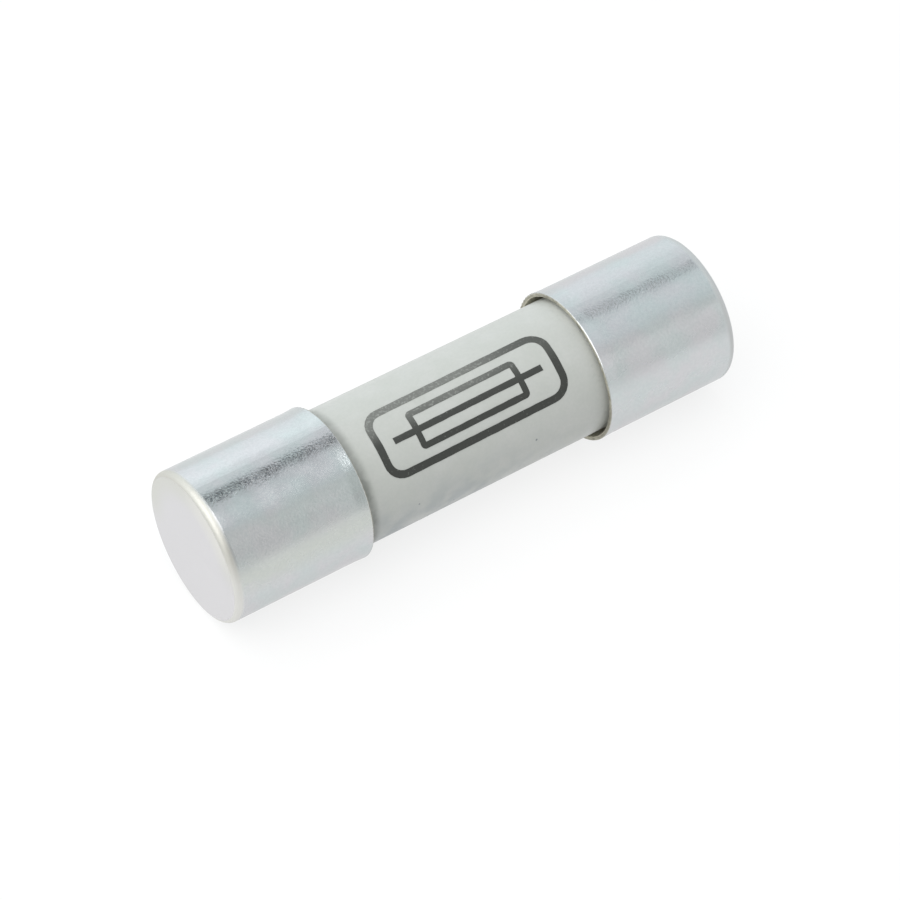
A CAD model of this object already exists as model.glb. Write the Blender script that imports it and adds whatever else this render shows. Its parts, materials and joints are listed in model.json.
import json
import math
from types import SimpleNamespace

import bmesh
import bpy
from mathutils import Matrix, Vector, noise


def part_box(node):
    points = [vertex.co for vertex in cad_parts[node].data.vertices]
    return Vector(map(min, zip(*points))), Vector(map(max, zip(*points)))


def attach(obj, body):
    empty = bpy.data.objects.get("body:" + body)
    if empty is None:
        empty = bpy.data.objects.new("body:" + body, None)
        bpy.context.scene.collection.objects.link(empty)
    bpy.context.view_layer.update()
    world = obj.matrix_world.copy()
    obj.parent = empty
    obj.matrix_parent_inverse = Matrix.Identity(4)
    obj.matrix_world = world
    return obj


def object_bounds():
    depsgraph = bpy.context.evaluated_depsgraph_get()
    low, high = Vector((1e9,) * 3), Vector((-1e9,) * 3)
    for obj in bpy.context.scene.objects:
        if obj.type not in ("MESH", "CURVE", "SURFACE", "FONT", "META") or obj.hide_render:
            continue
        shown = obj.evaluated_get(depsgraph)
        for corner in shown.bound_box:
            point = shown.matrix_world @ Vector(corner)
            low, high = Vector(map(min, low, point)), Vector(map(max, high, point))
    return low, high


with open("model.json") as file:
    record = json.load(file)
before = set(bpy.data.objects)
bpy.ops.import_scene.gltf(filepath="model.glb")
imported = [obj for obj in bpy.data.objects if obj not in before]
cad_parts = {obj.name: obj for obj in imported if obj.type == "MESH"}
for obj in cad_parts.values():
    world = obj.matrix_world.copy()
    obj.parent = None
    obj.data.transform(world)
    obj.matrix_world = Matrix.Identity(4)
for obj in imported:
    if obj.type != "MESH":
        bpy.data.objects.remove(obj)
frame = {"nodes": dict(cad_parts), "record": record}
cad_low, cad_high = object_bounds()

# The looks of a ceramic cartridge fuse that lies on a pale studio floor, in metres.
#
# The fuse lies along X. Directions round it are angles about its axis, in degrees, from
# straight up towards the front, which is -Y. Every shape of the fuse comes from the CAD
# frame, apart from the printed symbol, a thin raised layer of ink on the ceramic tube.

MM = 0.001

CAP_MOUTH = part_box("outer_cap_right")[0].x  # from the fuse's middle to the mouth of either cap
CAP_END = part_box("outer_cap_right")[1].x  # the same to either end face
TUBE_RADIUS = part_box("ceramic_tube")[1].z

# ---------------------------------------------------------------- shader nodes


def feed(tree, socket, value):
    """Gives a socket a value, or links it to another node's output."""
    if isinstance(value, bpy.types.NodeSocket):
        tree.links.new(value, socket)
    elif socket.type == "RGBA":
        socket.default_value = (*value, 1)
    else:
        socket.default_value = value


def add(tree, kind, settings=None, **inputs):
    """A new node. An input is either a value for its socket or another node's output."""
    node = tree.nodes.new(kind)
    for name, value in (settings or {}).items():
        setattr(node, name, value)
    for name, value in inputs.items():
        feed(tree, node.inputs[name], value)
    return node


def math_node(tree, operation, first, second=0.0):
    """The result of one arithmetic operation."""
    node = add(tree, "ShaderNodeMath", {"operation": operation})
    for socket, value in zip(node.inputs, (first, second)):
        feed(tree, socket, value)
    return node.outputs[0]


def product(tree, *factors):
    """All the factors multiplied together."""
    result = factors[0]
    for factor in factors[1:]:
        result = math_node(tree, "MULTIPLY", result, factor)
    return result


def total(tree, *terms):
    """All the terms added together."""
    result = terms[0]
    for term in terms[1:]:
        result = math_node(tree, "ADD", result, term)
    return result


def inverse(tree, mask):
    """1 where the mask is 0, and 0 where it is 1."""
    return math_node(tree, "SUBTRACT", 1.0, mask)


def place(tree, stretch=(1, 1, 1)):
    """The point of the piece that is being shaded, in metres, stretched along X, Y and Z."""
    point = add(tree, "ShaderNodeTexCoord").outputs["Object"]
    if tuple(stretch) == (1, 1, 1):
        return point
    mapping = add(tree, "ShaderNodeMapping", Vector=point)
    mapping.inputs["Scale"].default_value = stretch
    return mapping.outputs["Vector"]


def grain(tree, size, detail=2.0, roughness=0.5, stretch=(1, 1, 1)):
    """Soft noise from 0 to 1 whose features are about as large as size, in metres."""
    node = add(
        tree,
        "ShaderNodeTexNoise",
        Vector=place(tree, stretch),
        Scale=1 / size,
        Detail=detail,
        Roughness=roughness,
    )
    return node.outputs["Fac"]


def cells(tree, size, feature="F1", output="Distance"):
    """Distance or colour of irregular cells that are about as large as size, in metres."""
    node = add(
        tree,
        "ShaderNodeTexVoronoi",
        {"feature": feature},
        Vector=place(tree),
        Scale=1 / size,
    )
    return node.outputs[output]


def ramp(tree, value, start, end, low=0.0, high=1.0, kind="SMOOTHSTEP"):
    """Value mapped from start..end to low..high and held outside, by default smoothly."""
    node = add(
        tree,
        "ShaderNodeMapRange",
        {"interpolation_type": kind},
        **{"Value": value, "From Min": start, "From Max": end, "To Min": low, "To Max": high},
    )
    return node.outputs["Result"]


def fall(tree, value, start, end):
    """1 up to start, and from there smoothly down to 0 at end."""
    return ramp(tree, value, start, end, 1.0, 0.0)


def band(tree, value, start, end, blur):
    """1 between start and end and 0 outside, with edges as soft as blur."""
    rise = ramp(tree, value, start - blur, start + blur)
    return product(tree, rise, fall(tree, value, end - blur, end + blur))


def patches(tree, size, detail, start=0.35, end=0.65, low=0.0, high=1.0):
    """Irregular patches about as large as size: low where noise is under start, high over end."""
    return ramp(tree, grain(tree, size, detail), start, end, low, high)


def centred_grain(tree, size, detail):
    """Soft noise from -0.5 to 0.5 whose features are about as large as size, in metres."""
    return math_node(tree, "SUBTRACT", grain(tree, size, detail), 0.5)


def blend_colours(tree, factor, first, second):
    """The first colour where the factor is 0 and the second where it is 1."""
    node = add(tree, "ShaderNodeMix", {"data_type": "RGBA"})
    colour_sockets = [socket for socket in node.inputs if socket.type == "RGBA"]
    for socket, value in zip([node.inputs[0], *colour_sockets], (factor, first, second)):
        feed(tree, socket, value)
    return next(socket for socket in node.outputs if socket.type == "RGBA")


def cover(tree, colour, *layers):
    """A colour under layers, from the lowest up: each a mask and the colour it brings in."""
    for mask, layer_colour in layers:
        colour = blend_colours(tree, mask, colour, layer_colour)
    return colour


def relief(tree, height, depth, below=None):
    """Bumps of the given depth in metres, on top of the bumps below."""
    node = add(tree, "ShaderNodeBump", Height=height, Distance=depth)
    if below is not None:
        tree.links.new(below, node.inputs["Normal"])
    return node.outputs["Normal"]


def new_material(name):
    """A material, its node tree and its one shader."""
    material = bpy.data.materials.new(name)
    material.use_nodes = True
    tree = material.node_tree
    return material, tree, tree.nodes["Principled BSDF"]


def connect(tree, shader, colour, roughness, normal):
    """Links the shader's colour, roughness and normal."""
    tree.links.new(colour, shader.inputs["Base Color"])
    tree.links.new(roughness, shader.inputs["Roughness"])
    tree.links.new(normal, shader.inputs["Normal"])


# ---------------------------------------------------------------- places on the fuse


def angle_about_x(tree, point):
    """The angle of a point or direction about X, in radians, from straight up to the front."""
    split = add(tree, "ShaderNodeSeparateXYZ", Vector=point)
    forwards = math_node(tree, "MULTIPLY", split.outputs["Y"], -1.0)
    return math_node(tree, "ARCTAN2", forwards, split.outputs["Z"])


def angle_round(tree):
    """The angle of a point about the fuse's axis, in degrees, from straight up to the front."""
    return math_node(tree, "DEGREES", angle_about_x(tree, place(tree)))


def coordinate(tree, axis):
    """How far along X, Y or Z a point is, in metres."""
    return add(tree, "ShaderNodeSeparateXYZ", Vector=place(tree)).outputs[axis]


def distance_from_middle(tree):
    """How far a point is from the middle of the fuse along its axis, in metres."""
    return math_node(tree, "ABSOLUTE", coordinate(tree, "X"))


def distance_from_axis(tree):
    """How far a point is from the fuse's axis, in metres."""
    flattened = place(tree, stretch=(0, 1, 1))
    length = add(tree, "ShaderNodeVectorMath", {"operation": "LENGTH"}, Vector=flattened)
    return length.outputs["Value"]


def distance_from(tree, centre):
    """How far a point is from the centre, in metres."""
    gap = add(tree, "ShaderNodeVectorMath", {"operation": "DISTANCE"}, Vector=place(tree))
    gap.inputs[1].default_value = centre
    return gap.outputs["Value"]


def point_on_tube(along, angle, radius=TUBE_RADIUS):
    """The point at a distance along the fuse and an angle round it, in radians."""
    return (along, -radius * math.sin(angle), radius * math.cos(angle))


# ---------------------------------------------------------------- plating of the outer caps

TIN_CLOUDS = ((0.582, 0.623, 0.625), (0.623, 0.618, 0.635))
TIN_BLOTCHES = (0.62, 0.63, 0.64)
TIN_MOTTLE = (0.36, 0.39, 0.41)
TARNISH = (0.575, 0.60, 0.57)  # along the front of the left cap
END_FACE = (0.70, 0.692, 0.708)
END_BORDER = ((0.66, 0.665, 0.625), (0.74, 0.735, 0.70))  # the second on its upper front
LEFT_EDGE = ((0.60, 0.59, 0.55), (0.73, 0.725, 0.70))  # the second on its lower front
RIGHT_EDGE = (0.59, 0.60, 0.60)
BARE_RIM = ((0.33, 0.32, 0.265), (0.50, 0.48, 0.41))
CHIPPED_MOUTH = ((0.32, 0.31, 0.26), (0.52, 0.505, 0.43))
BARE_INSIDE = (0.80, 0.77, 0.66)
SCUFF_PITS = (0.26, 0.29, 0.31)

SCUFF_ANGLES = (7, 16)  # the scuffed stretch, in degrees round the cap
SCUFF_BLUR = 5  # how soft its edges are
SCUFF_SWAY = 14.0  # how far they wander
SPECULAR_TINT = 0.90  # how bright the metal is near a grazing angle
PEBBLE_DEPTH = 0.018 * MM
WAVE_DEPTH = 0.03 * MM


def plating_zones(tree):
    """Where a point is on an outer cap, and a mask for each of the cap's zones."""
    away = distance_from_middle(tree)
    from_axis = distance_from_axis(tree)
    around = angle_round(tree)
    on_end = ramp(tree, away, CAP_END - 0.04 * MM, CAP_END - 0.01 * MM)
    near_edge = ramp(tree, away, CAP_END - 0.65 * MM, CAP_END - 0.35 * MM)
    bore = TUBE_RADIUS + 0.30 * MM
    in_bore = fall(tree, from_axis, bore, bore + 0.10 * MM)
    short_of_floor = fall(tree, away, CAP_END - 1.2 * MM, CAP_END - 0.8 * MM)
    on_right = ramp(tree, coordinate(tree, "X"), -5 * MM, 5 * MM)
    sway = product(tree, centred_grain(tree, 2.2 * MM, 3.0), SCUFF_SWAY)
    return SimpleNamespace(
        from_axis=from_axis,
        around=around,
        on_end=on_end,
        on_edge=math_node(tree, "SUBTRACT", near_edge, on_end),
        on_side=inverse(tree, near_edge),
        on_rim=fall(tree, away, CAP_MOUTH + 0.02 * MM, CAP_MOUTH + 0.10 * MM),
        on_mouth=fall(tree, away, CAP_MOUTH + 0.005 * MM, CAP_MOUTH + 0.02 * MM),
        inside=product(tree, in_bore, short_of_floor),
        on_left=inverse(tree, on_right),
        on_right=on_right,
        scuffed=band(tree, total(tree, around, sway), *SCUFF_ANGLES, SCUFF_BLUR),
    )


def end_border(tree, zones):
    """The mask and the colour of the warmer border along the upper edge of an end face."""
    towards_edge = ramp(tree, zones.from_axis, 2.9 * MM, 4.75 * MM)
    border = product(tree, towards_edge, zones.on_end, band(tree, zones.around, -95, 75, 20))
    return border, blend_colours(tree, band(tree, zones.around, 0, 62, 16), *END_BORDER)


def plating_colour(tree, zones):
    """Clouded, finely mottled tin that is worn at its edges and pitted where it is scuffed."""
    tin_colour = blend_colours(tree, patches(tree, 2.5 * MM, 3.0), *TIN_CLOUDS)
    blotches = patches(tree, 0.6 * MM, 3.0, 0.55, 0.75, 0.0, 0.5)
    tarnish = patches(tree, 1.5 * MM, 2.0, 0.2, 0.5, 0.5, 1.0)
    tarnish = product(tree, zones.on_left, band(tree, zones.around, 66, 86, 9), tarnish)
    mottle = patches(tree, 0.18 * MM, 3.0, high=0.11)
    worn_edge = blend_colours(tree, ramp(tree, zones.around, 50, 80), *LEFT_EDGE)
    worn_edge = blend_colours(tree, zones.on_right, worn_edge, RIGHT_EDGE)
    bare_rim = blend_colours(tree, patches(tree, 0.3 * MM, 3.0), *BARE_RIM)
    chipped_mouth = blend_colours(tree, patches(tree, 0.9 * MM, 4.0), *CHIPPED_MOUTH)
    fewer_on_right = ramp(tree, zones.on_right, 0.0, 1.0, 1.0, 0.25)
    pits = patches(tree, 0.15 * MM, 2.0, 0.46, 0.64, 0.0, 0.66)
    pits = product(tree, pits, zones.scuffed, fewer_on_right, zones.on_side)
    return cover(
        tree,
        tin_colour,
        (blotches, TIN_BLOTCHES),
        (tarnish, TARNISH),
        (mottle, TIN_MOTTLE),
        (zones.on_end, END_FACE),
        end_border(tree, zones),
        (zones.on_edge, worn_edge),
        (zones.on_rim, bare_rim),
        (zones.on_mouth, chipped_mouth),
        (zones.inside, BARE_INSIDE),
        (pits, SCUFF_PITS),
    )


def plating_roughness(tree, zones):
    """Bright metal, duller along the front, and dullest on the edges, rims and insides."""
    dull_patches = patches(tree, 1.2 * MM, 2.0, 0.3, 0.7, 0.0, 0.06)
    return total(
        tree,
        ramp(tree, zones.on_right, 0.0, 1.0, 0.17, 0.20),
        product(tree, dull_patches, zones.on_side),
        product(tree, band(tree, zones.around, 60, 90, 12), 0.08),
        product(tree, zones.on_edge, 0.40),
        product(tree, zones.on_rim, 0.42),
        product(tree, zones.inside, 0.25),
    )


def plating_relief(tree, zones):
    """Fine pebbles, strongest in the scuffed stretch, and slight waves along the caps."""
    strength = ramp(tree, zones.scuffed, 0.0, 1.0, 0.35, 1.0)
    pebbles = product(tree, centred_grain(tree, 0.14 * MM, 2.0), zones.on_side, strength)
    waves = grain(tree, 1.4 * MM, detail=1.0, stretch=(0.6, 1, 1))
    waves = product(tree, waves, zones.on_side)
    return relief(tree, waves, WAVE_DEPTH, relief(tree, pebbles, PEBBLE_DEPTH))


def contact_plating():
    """Barrel-plated tin on brass: bright and finely pebbled, with a flat end and a bare rim."""
    material, tree, shader = new_material("contact_plating")
    shader.inputs["Metallic"].default_value = 1.0
    shader.inputs["Specular Tint"].default_value = (SPECULAR_TINT, SPECULAR_TINT, SPECULAR_TINT, 1)
    zones = plating_zones(tree)
    connect(
        tree,
        shader,
        colour=plating_colour(tree, zones),
        roughness=plating_roughness(tree, zones),
        normal=plating_relief(tree, zones),
    )
    return material


# ---------------------------------------------------------------- ceramic and ink

CLAY_CLOUDS = ((0.43, 0.442, 0.418), (0.455, 0.463, 0.445))
CLAY_SPECK = (0.12, 0.11, 0.10)
CLAY_MOTTLE = (0.36, 0.375, 0.36)
HANDLED_GREY = (0.27, 0.30, 0.315)
METAL_SMEAR = (0.30, 0.31, 0.30)
MOUTH_GRIME = (0.17, 0.18, 0.165)
BLUE_SPECK = (0.10, 0.11, 0.14)

# Larger specks in the ceramic: along the fuse in mm, round it in degrees, and radius in mm.
SPECKS = ((3.6, 84.5, 0.10), (-2.5, 111.0, 0.08), (-5.3, 91.0, 0.08))


def fired_clay(tree):
    """Off-white clay with faint clouds, rare dark specks and a fine mottle."""
    clouds = ramp(tree, grain(tree, 2.2 * MM, detail=5.0, roughness=0.6), 0.3, 0.7)
    speck = fall(tree, cells(tree, 1.1 * MM), 0.03, 0.07)
    rare = patches(tree, 2.5 * MM, 2.0, 0.60, 0.64)
    return cover(
        tree,
        blend_colours(tree, clouds, *CLAY_CLOUDS),
        (product(tree, speck, rare), CLAY_SPECK),
        (patches(tree, 0.2 * MM, 3.0, high=0.16), CLAY_MOTTLE),
    )


def handled(tree):
    """The mask of the greyed lower front, which fades towards the right."""
    return product(
        tree,
        patches(tree, 1.5 * MM, 3.0, low=0.3),
        ramp(tree, angle_round(tree), 58, 125, 0.0, 0.85),
        ramp(tree, coordinate(tree, "X"), -4 * MM, 8 * MM, 1.0, 0.2),
    )


def metal_smears(tree):
    """The mask of the faint smears that the caps left beside their mouths."""
    near_cap = ramp(tree, distance_from_middle(tree), CAP_MOUTH - 1.1 * MM, CAP_MOUTH)
    return product(tree, patches(tree, 0.35 * MM, 4.0, 0.56, 0.74, 0.0, 0.35), near_cap)


def left_mouth_grime(tree):
    """The mask of the dirt in the corner at the left cap's mouth, most of it lower down."""
    return product(
        tree,
        patches(tree, 0.6 * MM, 4.0, 0.25, 0.7, 0.5, 0.9),
        ramp(tree, angle_round(tree), 15, 65, 0.6, 0.9),
        fall(tree, coordinate(tree, "X"), 0.35 * MM - CAP_MOUTH, 0.95 * MM - CAP_MOUTH),
    )


def larger_specks(tree):
    """The mask and the colour of each of the larger specks."""
    layers = []
    for along, degrees, size in SPECKS:
        centre = point_on_tube(along * MM, math.radians(degrees))
        gap = distance_from(tree, centre)
        layers.append((ramp(tree, gap, 0.5 * size * MM, size * MM, 0.8, 0.0), BLUE_SPECK))
    return layers


def ceramic():
    """Unglazed steatite: off-white and smooth, with faint clouds, specks and metal smears."""
    material, tree, shader = new_material("ceramic")
    colour = cover(
        tree,
        fired_clay(tree),
        (handled(tree), HANDLED_GREY),
        (metal_smears(tree), METAL_SMEAR),
        (left_mouth_grime(tree), MOUTH_GRIME),
        *larger_specks(tree),
    )
    rough = patches(tree, 0.8 * MM, 3.0, 0.3, 0.7, 0.34, 0.44)
    skin = relief(tree, grain(tree, 0.10 * MM, detail=3.0), 0.0015 * MM)
    connect(tree, shader, colour=colour, roughness=rough, normal=skin)
    return material


INK = (0.028, 0.030, 0.026)
THIN_INK = (0.14, 0.145, 0.135)
INK_GAPS = (0.45, 0.46, 0.44)  # the ceramic that shows through


def printing_ink():
    """Dark grey ink that has worn thin and speckled, most of all along its upper edge."""
    material, tree, shader = new_material("printing_ink")
    upper = ramp(tree, coordinate(tree, "Z"), 3.95 * MM, 4.65 * MM)
    upper = product(tree, upper, ramp(tree, coordinate(tree, "X"), 0, 6 * MM, 1.0, 0.3))
    more_above = ramp(tree, upper, 0.0, 1.0, -0.06, 0.08)
    wear = total(tree, more_above, grain(tree, 0.16 * MM, detail=3.0))
    gaps = ramp(tree, wear, 0.54, 0.82, 0.0, 0.32)
    colour = blend_colours(tree, gaps, blend_colours(tree, upper, INK, THIN_INK), INK_GAPS)
    rough = patches(tree, 0.3 * MM, 2.0, 0.3, 0.7, 0.45, 0.6)
    skin = relief(tree, grain(tree, 0.12 * MM, detail=2.0), 0.002 * MM)
    connect(tree, shader, colour=colour, roughness=rough, normal=skin)
    return material


# ---------------------------------------------------------------- pieces inside


def inner_plating():
    """The thin cap under the contact, drawn and flash-plated, a little warmer and duller."""
    material, tree, shader = new_material("inner_plating")
    shader.inputs["Metallic"].default_value = 1.0
    tarnish = grain(tree, 1.5 * MM, detail=4.0)
    colour = blend_colours(tree, tarnish, (0.74, 0.70, 0.60), (0.66, 0.64, 0.60))
    rough = ramp(tree, tarnish, 0.3, 0.7, 0.30, 0.45)
    draw_lines = relief(tree, grain(tree, 0.12 * MM, stretch=(0.05, 1, 1)), 0.004 * MM)
    connect(tree, shader, colour=colour, roughness=rough, normal=draw_lines)
    return material


def washer_fibre():
    """Reddish-brown vulcanised fibre, mottled and slightly hairy."""
    material, tree, shader = new_material("washer_fibre")
    fibres = grain(tree, 0.25 * MM, detail=5.0, roughness=0.7, stretch=(1, 1, 0.25))
    colour = blend_colours(tree, fibres, (0.20, 0.07, 0.035), (0.36, 0.16, 0.09))
    rough = ramp(tree, fibres, 0.3, 0.7, 0.65, 0.85)
    connect(tree, shader, colour=colour, roughness=rough, normal=relief(tree, fibres, 0.02 * MM))
    return material


def plug_plastic():
    """Natural nylon, milky and a little yellow."""
    material, tree, shader = new_material("plug_plastic")
    cloud = grain(tree, 0.6 * MM, detail=3.0)
    colour = blend_colours(tree, cloud, (0.66, 0.64, 0.54), (0.74, 0.72, 0.64))
    rough = ramp(tree, cloud, 0.3, 0.7, 0.38, 0.5)
    orange_peel = relief(tree, grain(tree, 0.08 * MM), 0.002 * MM)
    connect(tree, shader, colour=colour, roughness=rough, normal=orange_peel)
    return material


def element_copper():
    """Rolled copper strip with rolling lines and a slightly darkened skin."""
    material, tree, shader = new_material("element_copper")
    shader.inputs["Metallic"].default_value = 1.0
    tarnish = grain(tree, 1.8 * MM, detail=5.0, roughness=0.6)
    colour = blend_colours(tree, tarnish, (0.86, 0.52, 0.38), (0.62, 0.33, 0.22))
    rough = ramp(tree, tarnish, 0.3, 0.7, 0.28, 0.42)
    rolling_lines = relief(tree, grain(tree, 0.06 * MM, stretch=(0.04, 1, 1)), 0.002 * MM)
    connect(tree, shader, colour=colour, roughness=rough, normal=rolling_lines)
    return material


def tin():
    """Solidified tin: satin, with dull frosted patches."""
    material, tree, shader = new_material("tin")
    shader.inputs["Metallic"].default_value = 1.0
    frost = grain(tree, 0.4 * MM, detail=4.0)
    colour = blend_colours(tree, frost, (0.78, 0.78, 0.77), (0.60, 0.61, 0.62))
    rough = ramp(tree, frost, 0.35, 0.65, 0.22, 0.5)
    connect(tree, shader, colour=colour, roughness=rough, normal=relief(tree, frost, 0.01 * MM))
    return material


def quartz_sand():
    """Packed quartz grains of about 0.3 mm, clear to honey-coloured."""
    material, tree, shader = new_material("quartz_sand")
    grain_size = 0.3 * MM
    tint = add(tree, "ShaderNodeSeparateColor", Color=cells(tree, grain_size, output="Color"))
    colour = blend_colours(tree, tint.outputs["Red"], (0.42, 0.33, 0.22), (0.80, 0.76, 0.68))
    edge = cells(tree, grain_size, feature="DISTANCE_TO_EDGE")
    gaps = ramp(tree, edge, 0.0, 0.12, 0.7, 0.0)
    colour = blend_colours(tree, gaps, colour, (0.16, 0.12, 0.08))
    rough = ramp(tree, tint.outputs["Green"], 0.0, 1.0, 0.25, 0.7)
    lumps = relief(tree, ramp(tree, edge, 0.0, 0.35), 0.08 * MM)
    connect(tree, shader, colour=colour, roughness=rough, normal=lumps)
    return material


def dress_the_frame():
    """Gives every CAD node the finish of its material slot in the record."""
    finishes = {
        make.__name__: make()
        for make in (
            contact_plating,
            ceramic,
            inner_plating,
            washer_fibre,
            plug_plastic,
            element_copper,
            tin,
            quartz_sand,
        )
    }
    for part in frame["record"]["subparts"]:
        for slot in frame["nodes"][part["node"]].material_slots:
            slot.material = finishes[part["material_slot"]]


# ---------------------------------------------------------------- the printed symbol

INK_THICKNESS = 0.015 * MM  # above the tube's surface, and as much below it
BORDER_LINE = 0.51 * MM  # line widths
SYMBOL_LINE = 0.42 * MM
INK_WANDER = 0.02 * MM  # how far the stamped edges stray
WANDER_LENGTH = 0.7 * MM  # along the line, from one stray to the next
WANDER_SEED = 1  # without one, the strays would differ from run to run
INK_STEP = 0.15 * MM  # between the cross sections of a line
CORNER_STEPS = 6  # in the turn of a round corner
SYMBOL_CENTRE = -0.1 * MM  # along the fuse
SYMBOL_ANGLE = 31.3  # round the fuse, in degrees
SYMBOL_SLANT = -0.01  # the stamp sits slightly askew
BORDER_SIZE = (13.8 * MM, 4.85 * MM, 1.35 * MM)  # length, height and corner radius
BOX_SIZE = (8.2 * MM, 2.65 * MM, 0.35 * MM)  # the same of the symbol's box
LEAD_REACH = 5.6 * MM  # from the middle of the symbol to the end of a lead


def straight_line(start, end):
    """Stations along a line of the flat artwork: each a point and the direction across."""
    count = math.ceil((end - start) / INK_STEP)
    stops = [start + (end - start) * i / count for i in range(count + 1)]
    return [(Vector((stop, 0)), Vector((0, 1))) for stop in stops]


def rounded_box(size, line):
    """Stations once round the middle of a box's line, with round corners."""
    length, height, corner = size
    reach = Vector((length, height)) / 2 - Vector((1, 1)) * line / 2
    radius = corner - line / 2
    turns = []
    for quarter, (right, up) in enumerate(((1, 1), (-1, 1), (-1, -1), (1, -1))):
        centre = Vector((right * (reach.x - radius), up * (reach.y - radius)))
        for part in range(CORNER_STEPS + 1):
            angle = math.radians(90 * quarter + 90 / CORNER_STEPS * part)
            out = Vector((math.cos(angle), math.sin(angle)))
            turns.append((centre + radius * out, out))
    stations = []
    for (point, out), (next_point, _) in zip(turns, turns[1:] + turns[:1]):
        count = math.ceil((next_point - point).length / INK_STEP)
        stations += [(point.lerp(next_point, i / count), out) for i in range(count)]
    return stations


def stray(point):
    """The artwork's point after the wander of a worn rubber stamp."""
    shift = noise.noise_vector(Vector((*point, 0)) / WANDER_LENGTH) * INK_WANDER
    return point + shift.xy


def ink_section(mesh, point, across, line):
    """The corners of one cross section of a line of ink, on the tube."""
    section = []
    for side, lift in ((-1, 1), (0, 1), (1, 1), (1, -1), (0, -1), (-1, -1)):
        flat = stray(point + across * side * line / 2)
        height = flat.y + SYMBOL_SLANT * flat.x
        angle = math.radians(SYMBOL_ANGLE) + height / TUBE_RADIUS
        radius = TUBE_RADIUS + lift * INK_THICKNESS
        section.append(mesh.verts.new(point_on_tube(SYMBOL_CENTRE + flat.x, angle, radius)))
    return section


def ink_line(mesh, stations, line, closed):
    """A thin raised line of ink on the tube, along the stations of the flat artwork."""
    sections = [ink_section(mesh, point, across, line) for point, across in stations]
    following = sections[1:] + (sections[:1] if closed else [])
    for section, after in zip(sections, following):
        for i in range(len(section)):
            j = (i + 1) % len(section)
            mesh.faces.new((section[i], section[j], after[j], after[i]))
    if not closed:
        mesh.faces.new(sections[0])
        mesh.faces.new(reversed(sections[-1]))


def printed_symbol():
    """The fuse symbol, a box with a line through it, in a plain border, as ink on the tube."""
    noise.seed_set(WANDER_SEED)
    mesh = bmesh.new()
    ink_line(mesh, rounded_box(BORDER_SIZE, BORDER_LINE), BORDER_LINE, closed=True)
    ink_line(mesh, rounded_box(BOX_SIZE, SYMBOL_LINE), SYMBOL_LINE, closed=True)
    outside = BOX_SIZE[0] / 2
    inside = outside - SYMBOL_LINE
    for start, end in ((-LEAD_REACH, -outside), (-inside, inside), (outside, LEAD_REACH)):
        ink_line(mesh, straight_line(start, end), SYMBOL_LINE, closed=False)
    bmesh.ops.recalc_face_normals(mesh, faces=mesh.faces)
    data = bpy.data.meshes.new("fuse_symbol")
    mesh.to_mesh(data)
    mesh.free()
    data.materials.append(printing_ink())
    symbol = bpy.data.objects.new("fuse_symbol", data)
    bpy.context.scene.collection.objects.link(symbol)
    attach(symbol, "root")


# ---------------------------------------------------------------- studio

# How bright the tent is in each direction round the fuse: the angle, then the brightness of the
# part that the left cap reflects and of the part that the right cap reflects.
TENT = (
    (-180, 0.90, 0.90),
    (-105, 1.10, 1.02),
    (-90, 1.20, 1.11),
    (-76, 1.25, 1.13),
    (-54, 1.39, 1.06),
    (-42, 1.00, 0.95),
    (-30, 0.94, 0.94),
    (-24, 0.90, 0.93),
    (-20, 0.25, 0.82),
    (-18, 0.00, 0.62),
    (-14, 0.00, 0.62),
    (-11, 0.20, 0.84),
    (-6, 0.62, 0.98),
    (10, 0.73, 0.97),
    (30, 0.75, 0.87),
    (44, 0.76, 0.76),
    (56, 0.75, 0.99),
    (68, 0.69, 0.95),
    (80, 0.73, 0.90),
    (92, 0.84, 0.88),
    (180, 0.90, 0.90),
)
BACK_TINTS = ((0.945, 1.0, 1.015), (0.94, 1.0, 1.02))  # of the two parts
FRONT_TINTS = ((0.965, 1.0, 0.975), (0.99, 1.0, 1.0))
FRONT_FROM = 40  # degrees
PARTS_MEET = (0.34, 0.43)  # where one part turns into the other, as a direction's X

# The tent's left half is dimmer than its right half, apart from its left end and its back. Each
# has a brightness, where the right half has 1, and the directions over which it sets in.
LEFT_SIDE = 0.28
LEFT_SIDE_X = (-0.1, 0.3)
LEFT_WALL = 1.1
LEFT_WALL_X = (-0.7, -0.5)
LEFT_BACK = 1.0
LEFT_BACK_Y = (0.3, 0.6)


def tent_shades(tree, share, part):
    """The colours of one part of the tent round the fuse."""
    shades = add(tree, "ShaderNodeValToRGB", Fac=share)
    elements = shades.color_ramp.elements
    while len(elements) < len(TENT):
        elements.new(1.0)
    for element, (degrees, *brightness) in zip(elements, TENT):
        element.position = (degrees + 180) / 360
        tint = BACK_TINTS[part] if degrees < FRONT_FROM else FRONT_TINTS[part]
        element.color = (*(brightness[part] * channel for channel in tint), 1)
    return shades.outputs["Color"]


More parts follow.
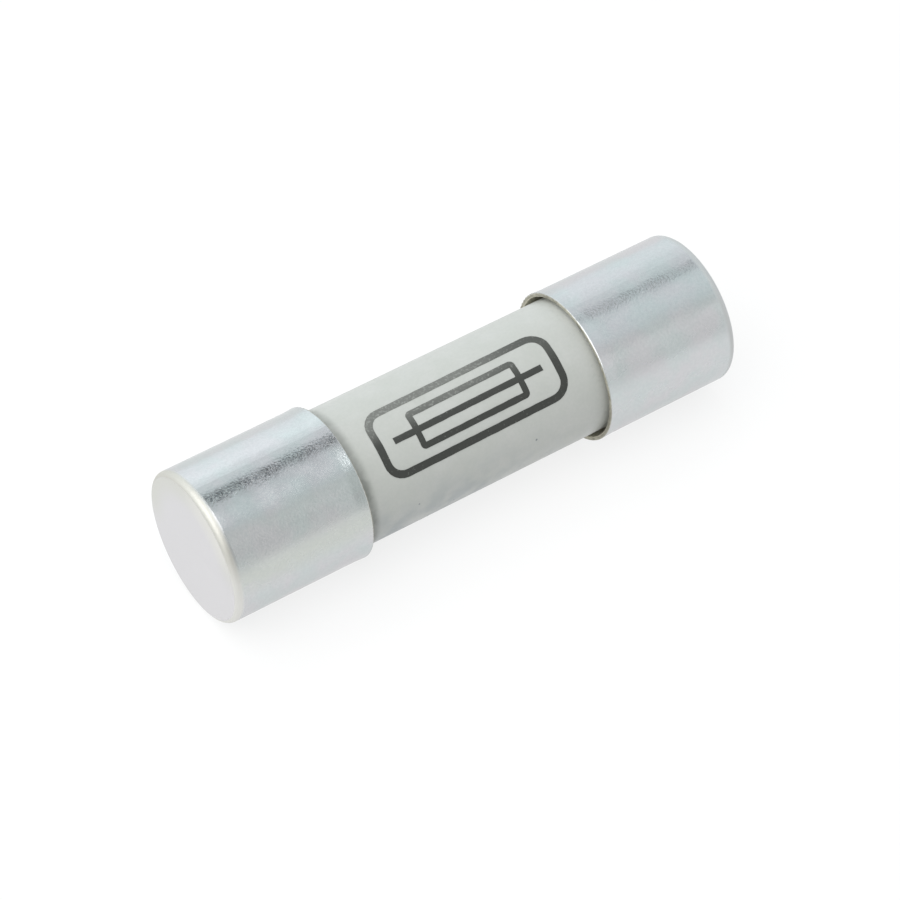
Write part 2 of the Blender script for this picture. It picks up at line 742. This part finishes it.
def build_tent():
    """A pale tent whose roof has one dark seam that runs along the fuse."""
    world = bpy.data.worlds.new("tent")
    world.use_nodes = True
    bpy.context.scene.world = world
    tree = world.node_tree
    direction = add(tree, "ShaderNodeTexCoord").outputs["Generated"]
    split = add(tree, "ShaderNodeSeparateXYZ", Vector=direction)
    sideways, backwards = split.outputs["X"], split.outputs["Y"]
    angle = angle_about_x(tree, direction)
    share = ramp(tree, angle, -math.pi, math.pi, kind="LINEAR")
    left_part, right_part = tent_shades(tree, share, 0), tent_shades(tree, share, 1)
    shades = blend_colours(tree, ramp(tree, sideways, *PARTS_MEET), left_part, right_part)
    side = ramp(tree, sideways, *LEFT_SIDE_X, LEFT_SIDE, 1.0)
    wall = ramp(tree, sideways, *LEFT_WALL_X, LEFT_WALL, 0.0)
    back = ramp(tree, backwards, *LEFT_BACK_Y, 0.0, LEFT_BACK)
    strength = math_node(tree, "MAXIMUM", side, math_node(tree, "MAXIMUM", wall, back))
    background = tree.nodes["Background"]
    tree.links.new(shades, background.inputs["Color"])
    tree.links.new(strength, background.inputs["Strength"])


KEY_POSITION = Vector((-0.28, -0.05, 0.58))
KEY_SIZE = 0.85
KEY_POWER = 5.5
KEY_COLOUR = (1.0, 1.0, 0.99)


def build_key_box():
    """A soft square lamp above the fuse and to its left, which faces the fuse."""
    lamp = bpy.data.lights.new("key_box", "AREA")
    lamp.shape = "SQUARE"
    lamp.size = KEY_SIZE
    lamp.energy = KEY_POWER
    lamp.color = KEY_COLOUR
    box = bpy.data.objects.new("key_box", lamp)
    box.location = KEY_POSITION
    box.rotation_mode = "QUATERNION"
    box.rotation_quaternion = (-KEY_POSITION).to_track_quat("-Z", "Y")
    bpy.context.scene.collection.objects.link(box)


FLOOR_REACH = 2.0  # from the fuse to each side of the floor
FLOOR_GREYS = ((0.16, 0.16, 0.16), (0.18, 0.18, 0.18))
FLOOR_GLOW = (0.54, 0.78)  # far in front of the fuse, and around it
GLOW_CHANGES = (-0.10, -0.045)  # where the glow goes from the one to the other, as Y


def build_floor():
    """A pale light table that the fuse lies on, dimmer far in front of it."""
    data = bpy.data.meshes.new("floor")
    signs = ((-1, -1), (1, -1), (1, 1), (-1, 1))
    corners = [(FLOOR_REACH * x, FLOOR_REACH * y, 0) for x, y in signs]
    data.from_pydata(corners, [], [(0, 1, 2, 3)])
    floor = bpy.data.objects.new("floor", data)
    floor.location.z = cad_low.z
    material, tree, shader = new_material("floor_paper")
    paper = blend_colours(tree, grain(tree, 30 * MM), *FLOOR_GREYS)
    tree.links.new(paper, shader.inputs["Base Color"])
    shader.inputs["Roughness"].default_value = 0.9
    shader.inputs["Specular IOR Level"].default_value = 0.2
    shader.inputs["Emission Color"].default_value = (1, 1, 1, 1)
    glow = ramp(tree, coordinate(tree, "Y"), *GLOW_CHANGES, *FLOOR_GLOW)
    tree.links.new(glow, shader.inputs["Emission Strength"])
    data.materials.append(material)
    bpy.context.scene.collection.objects.link(floor)


# The camera's direction from the fuse, its distance and its framing.
CAMERA_AZIMUTH = -34.1
CAMERA_ELEVATION = 46.4
CAMERA_DISTANCE = 231.8 * MM
CAMERA_LENS = 146.1  # on a 36 mm wide sensor
CAMERA_SHIFT = (0.0019, -0.0289)
CAMERA_CLIP = (0.01, 20)  # nearest and furthest that it sees


def build_camera():
    """A long lens that looks down at the fuse from its left front."""
    azimuth, elevation = math.radians(CAMERA_AZIMUTH), math.radians(CAMERA_ELEVATION)
    back = Vector(
        (
            math.sin(azimuth) * math.cos(elevation),
            -math.cos(azimuth) * math.cos(elevation),
            math.sin(elevation),
        )
    )
    data = bpy.data.cameras.new("camera")
    data.lens = CAMERA_LENS
    data.shift_x, data.shift_y = CAMERA_SHIFT
    data.clip_start, data.clip_end = CAMERA_CLIP
    camera = bpy.data.objects.new("camera", data)
    camera.location = back * CAMERA_DISTANCE
    camera.rotation_mode = "QUATERNION"
    camera.rotation_quaternion = (-back).to_track_quat("-Z", "Y")
    bpy.context.scene.collection.objects.link(camera)
    bpy.context.scene.camera = camera


dress_the_frame()
printed_symbol()
build_tent()
build_floor()
build_key_box()
build_camera()
bpy.context.scene.view_settings.view_transform = "Standard"
